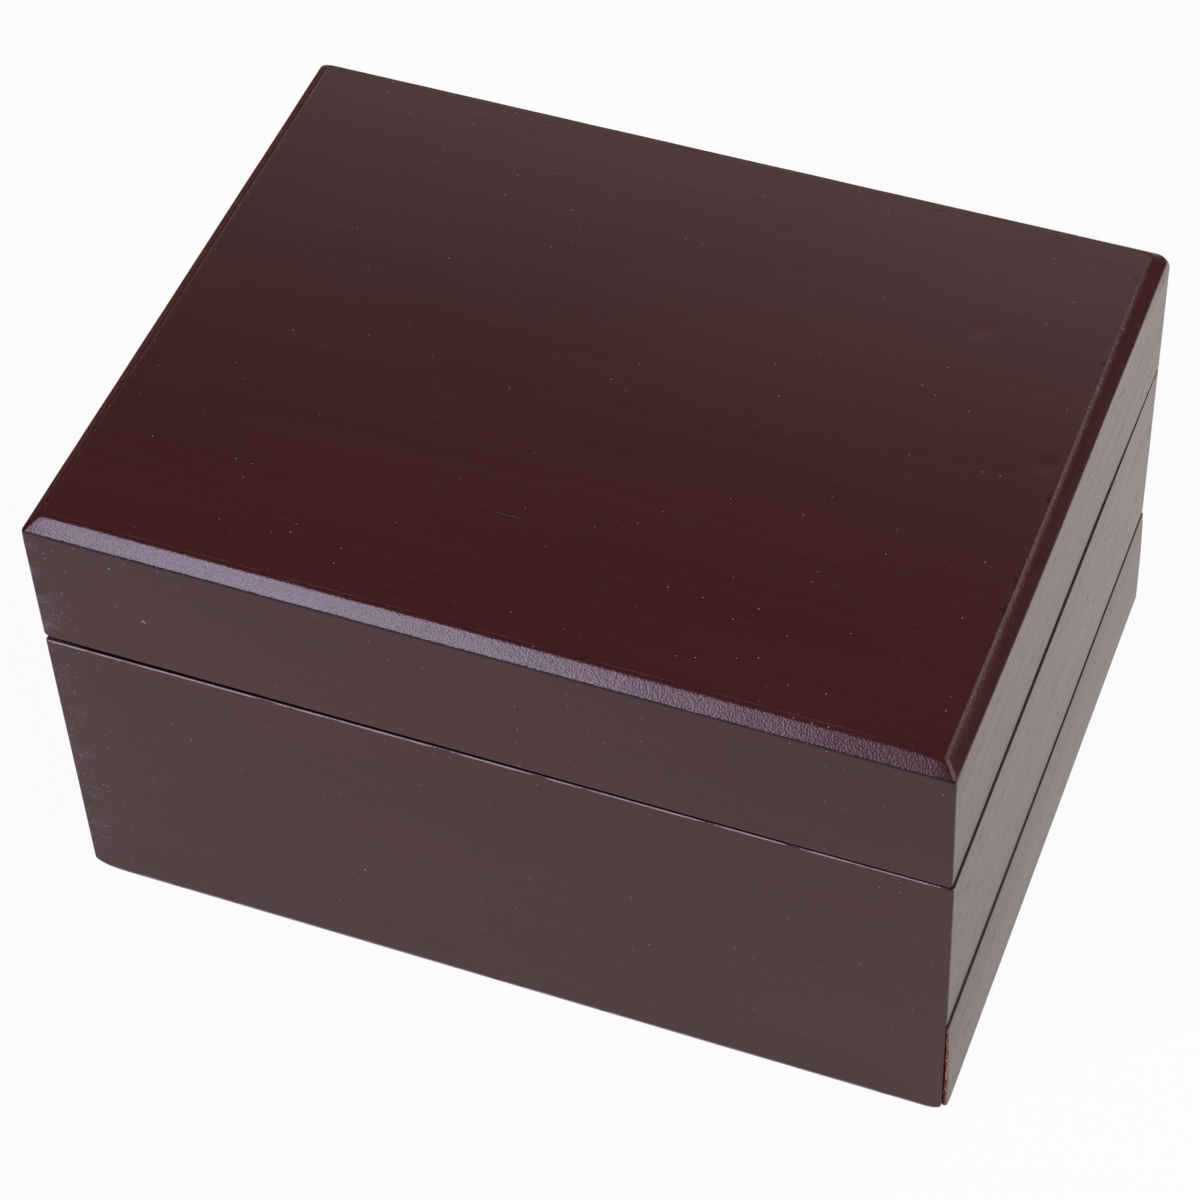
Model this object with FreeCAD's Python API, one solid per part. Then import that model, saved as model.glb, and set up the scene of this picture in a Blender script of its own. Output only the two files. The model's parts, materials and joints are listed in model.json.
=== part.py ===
import FreeCAD, Part
import math
import os

# A mitred wooden box with a hinged lid and a collecting drawer in its right-hand end.
# Millimetres, +Z up. The origin is on the table, in the middle of the footprint.
# The front faces -Y, the drawer slides out along +X, and the lid is hinged along the back, +Y.

V = FreeCAD.Vector

# The closed box
BOX_LENGTH = 260.0          # along X
BOX_DEPTH = 200.0           # along Y
BOX_HEIGHT = 150.0          # table to the top of the closed lid
RIM_HEIGHT = 102.0          # table to the top edge of the body's walls
LID_GAP = 0.6               # between that edge and the lid's rails
WALL = 10.0                 # thickness of the outer boards

# Easing of the outer edges
CORNER_ROUND = 0.8          # upright corners
SEAM_ROUND = 0.5            # both edges of the lid seam and of the drawer seam
FOOT_ROUND = 1.5            # edges that meet the table

# Lid
LID_TOP_THICKNESS = 8.0     # of the top board where it lies on the rails
LID_TOP_PLUG = 3.0          # how far its underside drops in between the rails
LID_BEVEL = 3.8             # along the top and down the side
LID_BEVEL_ROUND = 1.6       # soft upper edge of the bevel

# Bottom and compartment floor
BOTTOM_THICKNESS = 5.0
BOTTOM_REBATE = 5.0         # how far the bottom is let into the walls
FLOOR_THICKNESS = 5.0
FLOOR_GROOVE = 4.0          # how far the compartment floor enters the walls
SLOT_LENGTH = 110.0
SLOT_WIDTH = 10.0
SLOT_BEVEL = 1.2            # eased upper edge of the slot

# Drawer
DRAWER_SEAM = 41.0          # table to the lower edge of the wall above the drawer
DRAWER_SEAM_GAP = 0.8       # between that edge and the drawer's front
DRAWER_FOOT_GAP = 0.6       # between the table and the drawer's front
DRAWER_PROUD = 1.2          # how far the shut drawer's front stands out of the end
DRAWER_SIDE_GAP = 0.6       # between each drawer side and the wall beside it
DRAWER_RUN_GAP = 0.2        # between the drawer sides and the bottom that they run on
DRAWER_HEADROOM = 1.6       # between the drawer sides and the wall above the drawer
DRAWER_STOP_GAP = 0.2       # between the shut drawer and the wall that stops it
DRAWER_BOARD = 8.0          # thickness of the drawer's sides and back
DRAWER_BOTTOM_THICKNESS = 3.0
DRAWER_GROOVE = 3.0         # how far the drawer's bottom and back enter the boards round them
DRAWER_BOTTOM_LIFT = 3.0    # from the lower edge of the drawer sides to the groove
DRAWER_BACK_INSET = 6.0     # from the ends of the drawer sides to the drawer's back

# Hinges
HINGE_SPACING = 150.0       # middle to middle
HINGE_LENGTH = 38.0
HINGE_INSET = 1.2           # from the back of the box in to the hinge's axis
LEAF_MARGIN = 0.6           # wood left between the leaf and the inside of the wall
LEAF_THICKNESS = 1.2
KNUCKLES = 3
KNUCKLE_GAP = 0.3           # end to end, between one knuckle and the next
BARREL_RADIUS = 2.5
BARREL_GAP = 0.3            # round the barrel, to wood and to the other leaf
PIN_RADIUS = 1.2
PIN_CLEARANCE = 0.05        # round the pin, in the lid leaf's knuckles
LID_OPENING = 100.0         # degrees
STOP_SLACK = 1.0            # degrees past that at which the back edges would meet

# Hinge screws
SCREWS_PER_LEAF = 2
SCREW_SPACING = 22.0
SCREW_HEAD_RADIUS = 1.8
SCREW_SHANK_RADIUS = 0.9
SCREW_LENGTH = 9.0
SCREW_SLOT_WIDTH = 0.5
SCREW_SLOT_DEPTH = 0.4

# Places that follow from those sizes
END_X = BOX_LENGTH / 2
BACK_Y = BOX_DEPTH / 2
INNER_X = END_X - WALL
INNER_Y = BACK_Y - WALL
LID_BOTTOM = RIM_HEIGHT + LID_GAP
RAIL_TOP = BOX_HEIGHT - LID_TOP_THICKNESS
FLOOR_BOTTOM = DRAWER_SEAM
FLOOR_TOP = FLOOR_BOTTOM + FLOOR_THICKNESS
AXIS_Y = BACK_Y - HINGE_INSET
AXIS_Z = RIM_HEIGHT + LID_GAP / 2
LEAF_WIDTH = WALL - HINGE_INSET - LEAF_MARGIN
DRAWER_SIDE_BOTTOM = BOTTOM_THICKNESS + DRAWER_RUN_GAP
DRAWER_SIDE_TOP = DRAWER_SEAM - DRAWER_HEADROOM
DRAWER_SIDE_Y = INNER_Y - DRAWER_SIDE_GAP
DRAWER_INNER_Y = DRAWER_SIDE_Y - DRAWER_BOARD
DRAWER_FRONT_X = INNER_X + DRAWER_PROUD
DRAWER_END_X = DRAWER_STOP_GAP - INNER_X
DRAWER_BACK_X = DRAWER_END_X + DRAWER_BACK_INSET

# Turns that carry a board drawn along the front to the other three sides
TURN = {"front": 0.0, "right": 90.0, "back": 180.0, "left": 270.0}


def block(x0, x1, y0, y1, z0, z1):
    """A plain board between two corners."""
    return Part.makeBox(x1 - x0, y1 - y0, z1 - z0, V(x0, y0, z0))


def level_edges(shape, z):
    """The edges that lie flat at one height."""
    return [e for e in shape.Edges if abs(e.BoundBox.ZMin - z) + abs(e.BoundBox.ZMax - z) < 1e-6]


def upright_edges(shape):
    """The straight upright edges."""
    return [e for e in shape.Edges if e.BoundBox.XLength + e.BoundBox.YLength < 1e-6]


def mitred_board(side, z0, z1):
    """One wall: a long board with its ends cut at 45 degrees, drawn in plan and raised."""
    along_x = side in ("front", "back")
    half = END_X if along_x else BACK_Y
    out = BACK_Y if along_x else END_X
    plan = [
        V(-half, -out, z0),
        V(half, -out, z0),
        V(half - WALL, WALL - out, z0),
        V(WALL - half, WALL - out, z0),
    ]
    board = Part.Face(Part.makePolygon(plan + plan[:1])).extrude(V(0, 0, z1 - z0))
    board.rotate(V(0, 0, 0), V(0, 0, 1), TURN[side])
    return board


def eased_body(z0, z1, lower_round):
    """The outside of a stretch of the body, with its outer edges rounded over."""
    body = block(-END_X, END_X, -BACK_Y, BACK_Y, z0, z1)
    rounds = [
        (lower_round, lambda shape: level_edges(shape, z0)),
        (CORNER_ROUND, upright_edges),
        (SEAM_ROUND, lambda shape: level_edges(shape, z1)),
    ]
    for radius, pick in sorted(rounds, key=lambda step: step[0], reverse=True):
        body = body.makeFillet(radius, pick(body))
    return body


def eased_lid():
    """The outside of the lid, bevelled round its top."""
    lid = block(-END_X, END_X, -BACK_Y, BACK_Y, LID_BOTTOM, BOX_HEIGHT)
    lid = lid.makeChamfer(LID_BEVEL, level_edges(lid, BOX_HEIGHT))
    lid = lid.makeFillet(LID_BEVEL_ROUND, level_edges(lid, BOX_HEIGHT))
    lid = lid.makeFillet(CORNER_ROUND, upright_edges(lid))
    return lid.makeFillet(SEAM_ROUND, level_edges(lid, LID_BOTTOM))


def stop_bevel(up):
    """What is planed off a back edge at the seam. Each planed face lies on a plane through the hinge's axis,
    and the two lean on each other when the lid is open. up is 1 on the lid and -1 on the body."""
    lean = math.radians((180.0 - LID_OPENING - STOP_SLACK) / 2)
    reach = 2 * WALL  # past the back of the box
    tip = V(-END_X, AXIS_Y, AXIS_Z)
    far = V(-END_X, AXIS_Y + reach * math.sin(lean), AXIS_Z + up * reach * math.cos(lean))
    low = V(-END_X, far.y, AXIS_Z)
    return Part.Face(Part.makePolygon([tip, far, low, tip])).extrude(V(BOX_LENGTH, 0, 0))


def hinge_places():
    """The middle of each hinge's axis, by name."""
    return {"left": V(-HINGE_SPACING / 2, AXIS_Y, AXIS_Z), "right": V(HINGE_SPACING / 2, AXIS_Y, AXIS_Z)}


def along_axis(radius, x0, x1):
    """A round bar on the hinge's axis, drawn about the middle of the hinge."""
    return Part.makeCylinder(radius, x1 - x0, V(x0, 0, 0), V(1, 0, 0))


def leaf_plate(up):
    """A leaf before its knuckles are cut. up is 1 for the lid's leaf and -1 for the body's."""
    z0, z1 = sorted([up * LID_GAP / 2, up * (LID_GAP / 2 + LEAF_THICKNESS)])
    return block(-HINGE_LENGTH / 2, HINGE_LENGTH / 2, -LEAF_WIDTH, 0, z0, z1)


def screw(up):
    """A countersunk wood screw, turned from its half profile: the head fills the leaf's thickness and the shank
    goes into the wood. up is the way that the shank goes."""
    profile = [
        V(0, 0, 0),
        V(SCREW_HEAD_RADIUS, 0, 0),
        V(SCREW_SHANK_RADIUS, 0, LEAF_THICKNESS),
        V(SCREW_SHANK_RADIUS, 0, SCREW_LENGTH),
        V(0, 0, SCREW_LENGTH),
    ]
    turned = Part.Face(Part.makePolygon(profile + profile[:1])).revolve(V(0, 0, 0), V(0, 0, 1), 360)
    if up < 0:
        turned.rotate(V(0, 0, 0), V(1, 0, 0), 180)
    turned.translate(V(0, 0, up * LID_GAP / 2))
    return turned


def leaf_screws(up):
    """The screws of one leaf, in a row along the middle of the part of it that lies on wood."""
    row_y = -(LEAF_WIDTH + BARREL_RADIUS + BARREL_GAP) / 2
    first_x = -SCREW_SPACING * (SCREWS_PER_LEAF - 1) / 2
    screws = []
    for i in range(SCREWS_PER_LEAF):
        one = screw(up)
        one.translate(V(first_x + i * SCREW_SPACING, row_y, 0))
        screws.append(one)
    return screws


def hinge_leaf(up):
    """One leaf with its knuckles. The body's leaf holds the pin, and the lid's leaf turns on it."""
    pitch = HINGE_LENGTH / KNUCKLES
    leaf = leaf_plate(up)
    own_first = 1 if up > 0 else 0
    for i in range(KNUCKLES):
        start = -HINGE_LENGTH / 2 + i * pitch
        if i % 2 == own_first:
            x0 = start if i == 0 else start + KNUCKLE_GAP / 2
            x1 = start + pitch if i == KNUCKLES - 1 else start + pitch - KNUCKLE_GAP / 2
            leaf = leaf.fuse(along_axis(BARREL_RADIUS, x0, x1))
        else:
            x0 = start - KNUCKLE_GAP / 2
            x1 = start + pitch + KNUCKLE_GAP / 2
            leaf = leaf.cut(along_axis(BARREL_RADIUS + BARREL_GAP, x0, x1))
    bore = PIN_RADIUS + (PIN_CLEARANCE if up > 0 else 0.0)
    leaf = leaf.cut(along_axis(bore, -HINGE_LENGTH, HINGE_LENGTH))
    return leaf.cut(leaf_screws(up)).removeSplitter()


def slotted(screws, up):
    """The screws with a driver slot across each head."""
    z0, z1 = sorted([up * LID_GAP / 2, up * (LID_GAP / 2 + SCREW_SLOT_DEPTH)])
    half = SCREW_SLOT_WIDTH / 2
    done = []
    for one in screws:
        middle = one.BoundBox.Center
        slot = block(-SCREW_HEAD_RADIUS, SCREW_HEAD_RADIUS, -half, half, z0, z1)
        slot.translate(V(middle.x, middle.y, 0))
        done.append(one.cut(slot))
    return done


def moved(shape, place):
    """A copy of a shape, carried to a place."""
    copy = shape.copy()
    copy.translate(place)
    return copy


def hinge_housing(up):
    """What is cut from a back board for its two hinges: leaf recesses, barrel troughs and screw holes."""
    half = HINGE_LENGTH / 2 + BARREL_GAP
    trough = along_axis(BARREL_RADIUS + BARREL_GAP, -half, half)
    cuts = [leaf_plate(up), trough] + leaf_screws(up)
    return [moved(cut, place) for place in hinge_places().values() for cut in cuts]


def bottom_panel():
    """The bottom, let into the front, back and left walls and open to the drawer's front."""
    let_x = INNER_X + BOTTOM_REBATE
    let_y = INNER_Y + BOTTOM_REBATE
    return block(-let_x, INNER_X, -let_y, let_y, 0, BOTTOM_THICKNESS)


def floor_blank():
    """The compartment floor before its slot is cut. Its underside is level with the wall above the drawer."""
    in_x = INNER_X + FLOOR_GROOVE
    in_y = INNER_Y + FLOOR_GROOVE
    return block(-in_x, in_x, -in_y, in_y, FLOOR_BOTTOM, FLOOR_TOP)


def compartment_floor():
    """The floor under the lid, with a round-ended slot over the drawer."""
    straight = (SLOT_LENGTH - SLOT_WIDTH) / 2
    radius = SLOT_WIDTH / 2
    z = FLOOR_BOTTOM
    outline = Part.Wire([
        Part.LineSegment(V(-straight, -radius, z), V(straight, -radius, z)).toShape(),
        Part.Arc(V(straight, -radius, z), V(straight + radius, 0, z), V(straight, radius, z)).toShape(),
        Part.LineSegment(V(straight, radius, z), V(-straight, radius, z)).toShape(),
        Part.Arc(V(-straight, radius, z), V(-straight - radius, 0, z), V(-straight, -radius, z)).toShape(),
    ])
    floor = floor_blank().cut(Part.Face(outline).extrude(V(0, 0, FLOOR_THICKNESS)))
    upper_edges = level_edges(floor, FLOOR_TOP)
    rim = [e for e in upper_edges if -SLOT_WIDTH < e.BoundBox.YMin and e.BoundBox.YMax < SLOT_WIDTH]
    return floor.makeChamfer(SLOT_BEVEL, rim)


def body_walls():
    """The four fixed walls. The right one stops above the drawer."""
    full = eased_body(0, RIM_HEIGHT, FOOT_ROUND)
    short = eased_body(DRAWER_SEAM, RIM_HEIGHT, SEAM_ROUND)
    walls = {}
    for side in TURN:
        outside = short if side == "right" else full
        foot = DRAWER_SEAM if side == "right" else 0.0
        wall = mitred_board(side, foot, RIM_HEIGHT).common(outside)
        wall = wall.cut([floor_blank(), bottom_panel(), stop_bevel(-1)])
        walls[side + "_panel"] = wall
    walls["back_panel"] = walls["back_panel"].cut(hinge_housing(-1))
    return walls


def lid_boards():
    """The lid: a bevelled top board plugged into a mitred frame of four rails."""
    outside = eased_lid()
    top = outside.common(block(-END_X, END_X, -BACK_Y, BACK_Y, RAIL_TOP, BOX_HEIGHT))
    plug = block(-INNER_X, INNER_X, -INNER_Y, INNER_Y, RAIL_TOP - LID_TOP_PLUG, RAIL_TOP)
    boards = {"lid_top": top.fuse(plug).removeSplitter()}
    for side in TURN:
        rail = mitred_board(side, LID_BOTTOM, RAIL_TOP).common(outside)
        boards["lid_" + side + "_rail"] = rail.cut(stop_bevel(1))
    boards["lid_back_rail"] = boards["lid_back_rail"].cut(hinge_housing(1))
    return boards


def drawer_bottom():
    """The drawer's bottom sheet, grooved into the boards round it."""
    in_y = DRAWER_INNER_Y + DRAWER_GROOVE
    back_x = DRAWER_BACK_X + DRAWER_BOARD - DRAWER_GROOVE
    z = DRAWER_SIDE_BOTTOM + DRAWER_BOTTOM_LIFT
    return block(back_x, DRAWER_FRONT_X + DRAWER_GROOVE, -in_y, in_y, z, z + DRAWER_BOTTOM_THICKNESS)


def drawer_back():
    """The drawer's back, housed in its sides a little way in from their ends."""
    in_y = DRAWER_INNER_Y + DRAWER_GROOVE
    x0 = DRAWER_BACK_X
    x1 = DRAWER_BACK_X + DRAWER_BOARD
    board = block(x0, x1, -in_y, in_y, DRAWER_SIDE_BOTTOM, DRAWER_SIDE_TOP)
    return board.cut(drawer_bottom())


def drawer_side():
    """The drawer's side at the back of the box, grooved for the drawer's bottom and back."""
    y0 = DRAWER_INNER_Y
    y1 = DRAWER_SIDE_Y
    board = block(DRAWER_END_X, DRAWER_FRONT_X, y0, y1, DRAWER_SIDE_BOTTOM, DRAWER_SIDE_TOP)
    return board.cut([drawer_bottom(), drawer_back()])


def drawer_front():
    """The drawer's front, mitred and eased like the walls, and a little proud of the end that it closes."""
    top = DRAWER_SEAM - DRAWER_SEAM_GAP
    board = mitred_board("right", DRAWER_FOOT_GAP, top).common(eased_body(DRAWER_FOOT_GAP, top, FOOT_ROUND))
    board.translate(V(DRAWER_PROUD, 0, 0))
    return board.cut(drawer_bottom())


def drawer_boards():
    """The drawer: its front, two sides, back and bottom."""
    return {
        "drawer_front": drawer_front(),
        "drawer_far_side": drawer_side(),
        "drawer_near_side": drawer_side().mirror(V(0, 0, 0), V(0, 1, 0)),
        "drawer_back": drawer_back(),
        "drawer_bottom": drawer_bottom(),
    }


def hinges():
    """Two brass butt hinges, each of two leaves and a pin, and the screws of both."""
    parts = {}
    pin = along_axis(PIN_RADIUS, -HINGE_LENGTH / 2, HINGE_LENGTH / 2)
    body_screws = []
    lid_screws = []
    for name, place in hinge_places().items():
        parts["hinge_" + name + "_body_leaf"] = moved(hinge_leaf(-1), place)
        parts["hinge_" + name + "_lid_leaf"] = moved(hinge_leaf(1), place)
        parts["hinge_" + name + "_pin"] = moved(pin, place)
        body_screws += [moved(one, place) for one in slotted(leaf_screws(-1), -1)]
        lid_screws += [moved(one, place) for one in slotted(leaf_screws(1), 1)]
    parts["hinge_body_screws"] = Part.makeCompound(body_screws)
    parts["hinge_lid_screws"] = Part.makeCompound(lid_screws)
    return parts


parts = {"bottom_panel": bottom_panel(), "compartment_floor": compartment_floor()}
parts.update(body_walls())
parts.update(lid_boards())
parts.update(drawer_boards())
parts.update(hinges())

os.makedirs("parts", exist_ok=True)
for name, shape in parts.items():
    shape.exportStep("parts/" + name + ".step")
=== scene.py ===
import json
import math

import bmesh
import bpy
from mathutils import Matrix, Vector, noise


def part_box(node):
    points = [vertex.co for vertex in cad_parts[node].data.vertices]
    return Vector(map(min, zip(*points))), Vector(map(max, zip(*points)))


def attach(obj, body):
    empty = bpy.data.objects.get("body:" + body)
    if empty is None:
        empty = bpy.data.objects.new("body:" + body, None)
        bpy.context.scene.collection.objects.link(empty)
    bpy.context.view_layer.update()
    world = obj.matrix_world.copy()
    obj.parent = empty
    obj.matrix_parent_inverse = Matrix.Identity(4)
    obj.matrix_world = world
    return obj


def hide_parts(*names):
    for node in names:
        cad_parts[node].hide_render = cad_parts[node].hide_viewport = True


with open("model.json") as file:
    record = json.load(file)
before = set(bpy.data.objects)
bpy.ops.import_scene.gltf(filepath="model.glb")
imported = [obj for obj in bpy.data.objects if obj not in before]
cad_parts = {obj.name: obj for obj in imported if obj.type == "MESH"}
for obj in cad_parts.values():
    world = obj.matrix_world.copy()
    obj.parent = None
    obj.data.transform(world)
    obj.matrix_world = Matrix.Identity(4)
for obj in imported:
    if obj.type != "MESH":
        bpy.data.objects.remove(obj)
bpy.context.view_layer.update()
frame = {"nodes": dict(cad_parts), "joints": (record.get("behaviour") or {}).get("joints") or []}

# Front, left and right walls of the body.
# Mahogany boards planed to one thickness, grooved for the floors, mitred at their ends and glued.
# Stained dark and lacquered to a satin shine; the outer edges are rubbed round by hand.
mm = 0.001
wall_names = {"front": "front_panel", "right": "right_panel", "left": "left_panel"}
side_turn = {"front": 0.0, "right": math.pi / 2, "left": -math.pi / 2}
end_x = -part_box("left_panel")[0].x
face_y = -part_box("front_panel")[0].y
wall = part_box("front_panel")[1].y + face_y
rim_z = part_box("front_panel")[1].z
drawer_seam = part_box("right_panel")[0].z
floor_low, floor_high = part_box("compartment_floor")
bottom_low, bottom_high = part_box("bottom_panel")
floor_cut = (floor_low.z, floor_high.z, floor_high.x - (end_x - wall))
bottom_cut = (0.0, bottom_high.z, -bottom_low.x - (end_x - wall))
hinge = next(joint for joint in frame["joints"] if joint["name"] == "lid_hinge")
axis_y, axis_z = hinge["pos_m"][1:]
stop_lean = math.radians(39.5)
corner_round = 0.8 * mm
seam_round = 0.5 * mm
rim_round = {"front": 0.6 * mm, "right": 0.35 * mm, "left": 0.7 * mm}
inner_round = 0.4 * mm
foot_round = 1.5 * mm
foot_corner = {"left": (9.0 * mm, 4.2 * mm), "right": (5.0 * mm, 3.2 * mm)}
foot_rows = (0.9 * mm, 1.9 * mm, 3.0 * mm)
end_columns = (0.6 * mm, 1.2 * mm, 1.9 * mm, 2.7 * mm, 3.6 * mm, 4.7 * mm, 6.0 * mm)
board_step = 4.0 * mm
edge_margin = 0.3 * mm
arc_steps = 5
crease = math.radians(32)
unevenness = 0.03 * mm
planing_waves = 40
wall_belly = 0.3 * mm
front_skin = 1.0 * mm
# The pale flecks along the front wall's foot and rim are painted highlight: a light line along the foot and a
# glint line on the rim's rounding.
foot_painted_highlight_rise = 1.6 * mm
foot_painted_highlight = 6.0
rim_painted_glint = 4.0
rim_painted_glint_band = (0.25, 0.85)
scuffed_end = 16 * mm


def rounded(depth, height, radius, start):
    """A quarter round in a board's section, as (depth, height, 1) points; start is its first angle in
    degrees."""
    points = []
    for i in range(arc_steps + 1):
        angle = math.radians(start - 90 * i / arc_steps)
        points.append((depth + radius * math.cos(angle), height + radius * math.sin(angle), 1.0))
    return points


def face_heights(low, high, step):
    """Heights up a flat face, closer together at its foot, and with a narrow strip next to each rounded edge
    so that the face stays flat."""
    count = max(2, round((high - low) / step))
    inner = [low + (high - low) * i / count for i in range(1, count)]
    return sorted([low + edge_margin] + [low + row for row in foot_rows] + inner + [high - edge_margin])


def board_section(low, high, lower, upper, grooves, step):
    """A board's section: up the outer face, over the top and down the inner face with its grooves.
    Each point is (depth from the outer face, height, 1 on a rounded outer edge)."""
    points = rounded(lower, low + lower, lower, 270)
    points += [(0.0, z, 0.0) for z in face_heights(low + lower, high - upper, step)]
    points += rounded(upper, high - upper, upper, 180)
    points += [(d, z, 0.0) for d, z, _ in rounded(wall - inner_round, high - inner_round, inner_round, 90)]
    for groove_low, groove_high, groove_depth in grooves:
        points += [(wall, groove_high, 0.0), (wall - groove_depth, groove_high, 0.0)]
        points += [(wall - groove_depth, groove_low, 0.0)]
        if groove_low > low:
            points.append((wall, groove_low, 0.0))
    if not grooves or grooves[-1][0] > low:
        points.append((wall, low, 0.0))
    return points


def board_stations(half, corner):
    """Places along a board from mitre to mitre: (along, depth) on its outer face, turning into each rounded
    corner, and how far along its inner face the same place is."""
    straight = half - corner
    count = round(2 * straight / board_step)
    flat = [-straight + edge_margin] + [-straight + 2 * straight * i / count for i in range(1, count)]
    flat += [straight - edge_margin]
    near_end = [straight - column for column in end_columns]
    flat = sorted(flat + near_end + [-along for along in near_end])
    turn = [math.radians(45 * i / arc_steps) for i in range(arc_steps + 1)]
    end = [(straight + corner * math.sin(a), corner * (1 - math.cos(a)), straight + corner * a) for a in turn]
    outer = [(-along, depth, -run) for along, depth, run in reversed(end)]
    outer += [(along, 0.0, along) for along in flat] + end
    longest = end[-1][2]
    return [(along, depth, run / longest * (half - wall)) for along, depth, run in outer]


def mitred_board(name, side, half, out, section, work, scuffs_and_glints_at, corner=corner_round):
    """A mitred board as a mesh: half is half its length, and out is how far out its outer face lies. section
    gives the board's section at a place along it, work moves each point from where a perfect board would have
    it, and the argument after work says how scuffed each point is and how much painted highlight it carries.
    Points on the rounded edges away from the outer face are marked for painted shade in the seams. The faces
    are material 0 and the mitred ends material 1."""
    bm = bmesh.new()
    masks = ("arris", "inside", "scuffed", "meeting")
    arris, inside, scuffed, meeting = [bm.verts.layers.float.new(mask) for mask in masks]
    turn = Matrix.Rotation(side_turn[side], 3, "Z")
    loops = []
    for along, depth, inner_along in board_stations(half, corner):
        loop = []
        for point_depth, height, edge in section(along):
            share = point_depth / wall
            flat = (along + (inner_along - along) * share, depth + (wall - depth) * share - out, height)
            square = turn @ Vector(flat)
            off_face = share > 0.02
            outer_half = share < 0.5
            inner_face = share > 0.99
            vert = bm.verts.new(work(square))
            vert[arris] = 1.0 if edge or (depth > 0 and outer_half) else 0.0
            vert[inside] = 1.0 if inner_face else 0.0
            vert[scuffed] = scuffs_and_glints_at(square)
            # Rounded edges away from the outer face carry painted shade, which darkens the seams between
            # boards.
            vert[meeting] = 1.0 if edge and off_face else 0.0
            loop.append(vert)
        loops.append(loop)
    for first, second in zip(loops, loops[1:]):
        for i in range(len(first)):
            j = (i + 1) % len(first)
            bm.faces.new((first[i], first[j], second[j], second[i]))
    for loop in (loops[0], loops[-1]):
        bm.faces.new(loop).material_index = 1
    return finished_mesh(name, bm)


def finished_mesh(name, bm):
    """Turns a bmesh into an object whose flat faces stay crisp and whose rounded edges are smooth."""
    bmesh.ops.recalc_face_normals(bm, faces=bm.faces)
    mesh = bpy.data.meshes.new(name)
    bm.to_mesh(mesh)
    bm.free()
    mesh.polygons.foreach_set("use_smooth", [True] * len(mesh.polygons))
    mesh.set_sharp_from_angle(angle=crease)
    piece = bpy.data.objects.new(name, mesh)
    bpy.context.scene.collection.objects.link(piece)
    return piece


def hand_planed(place, out_way):
    """The slight unevenness of a hand-finished face."""
    return place + out_way * unevenness * noise.noise(place * planing_waves)


def rounded_corner(place, out_x, level, along, rise):
    """Takes the point off the front's upright corners where they meet the level of a foot or a seam: the
    lower edge turns up there in a quarter oval, which is along long and rise high."""
    near = 1 + min(abs(place.x) - out_x, -place.y - face_y) / along
    low = 1 - (place.z - level) / (2 * rise)
    if near <= 0 or low <= 0:
        return place
    lift = rise * (1 - math.sqrt(1 - min(1.0, near) ** 2))
    return place + Vector((0.0, 0.0, lift * low))


def clamped(value):
    """A value held between 0 and 1."""
    return max(0.0, min(1.0, value))


def forwardness(place):
    """0 at the back of the box and 1 at its front."""
    return (face_y - place.y) / (2 * face_y)


def right_skin(place):
    """1 on the outside of the box's right end, fading to 0 at the inside of its wall."""
    return clamped((place.x - end_x + wall) / wall)


def at_front_right(place):
    """How near a place is to the box's front right corner, on the outside of it: 1 at the corner itself."""
    return clamped(forwardness(place)) * right_skin(place)


def settled_wall(place, out_way):
    """A place on a wall. The foot's corners are rubbed round, the front right corner has bellied out a little
    above the drawer, and the rim is planed off behind the hinges' axis."""
    corner = foot_corner["left" if place.x < 0 else "right"]
    place = rounded_corner(hand_planed(place, out_way), end_x, 0.0, *corner)
    above = (rim_z - place.z) / (rim_z - drawer_seam)
    place.x += wall_belly * min(1.0, above) * at_front_right(place)
    if place.y > axis_y:
        place.z = min(place.z, axis_z - (place.y - axis_y) / math.tan(stop_lean))
    return place


def scuffs_and_painted_glints(place):
    """The front boards are scuffed along their left end. Along the front wall's rim and its foot the marks
    are
    painted highlight: a glint line on the rim's rounding and a light line along the foot.
    """
    # Painted highlight: a light line along the front wall's foot.
    if place.y < -face_y + foot_round and place.z < foot_painted_highlight_rise:
        return foot_painted_highlight
    if place.y > -face_y + front_skin:
        return 0.0
    # Painted highlight: a glint line on a band of the front rim's rounding.
    over_rim = (rim_z - place.z) / rim_round["front"]
    rim = rim_painted_glint if rim_painted_glint_band[0] < over_rim < rim_painted_glint_band[1] else 0.0
    return max(rim, 1 - (place.x + end_x) / scuffed_end)


def side_span(side):
    """Half the length of a side's boards, and how far out their outer face lies."""
    return (end_x, face_y) if side == "front" else (face_y, end_x)


def side_way(side):
    """The way a side faces."""
    return Matrix.Rotation(side_turn[side], 3, "Z") @ Vector((0, -1, 0))


def new_group(name, inputs, outputs):
    """An empty shader node group with its sockets, and its input and output nodes."""
    group = bpy.data.node_groups.new(name, "ShaderNodeTree")
    for way, sockets in (("INPUT", inputs), ("OUTPUT", outputs)):
        for label, kind in sockets:
            group.interface.new_socket(name=label, socket_type="NodeSocket" + kind, in_out=way)
    return group, group.nodes.new("NodeGroupInput"), group.nodes.new("NodeGroupOutput")


def node(tree, kind, links, **settings):
    """Adds a node, sets its properties, and links or sets its inputs by name or number."""
    made = tree.nodes.new("ShaderNode" + kind)
    for key, value in settings.items():
        setattr(made, key, value)
    for key, value in links.items():
        if isinstance(value, bpy.types.NodeSocket):
            tree.links.new(value, made.inputs[key])
        else:
            made.inputs[key].default_value = value
    return made


def placed_group(tree, group, links):
    """Places a node group in a material and gives its outputs."""
    return node(tree, "Group", links, node_tree=group).outputs


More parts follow.
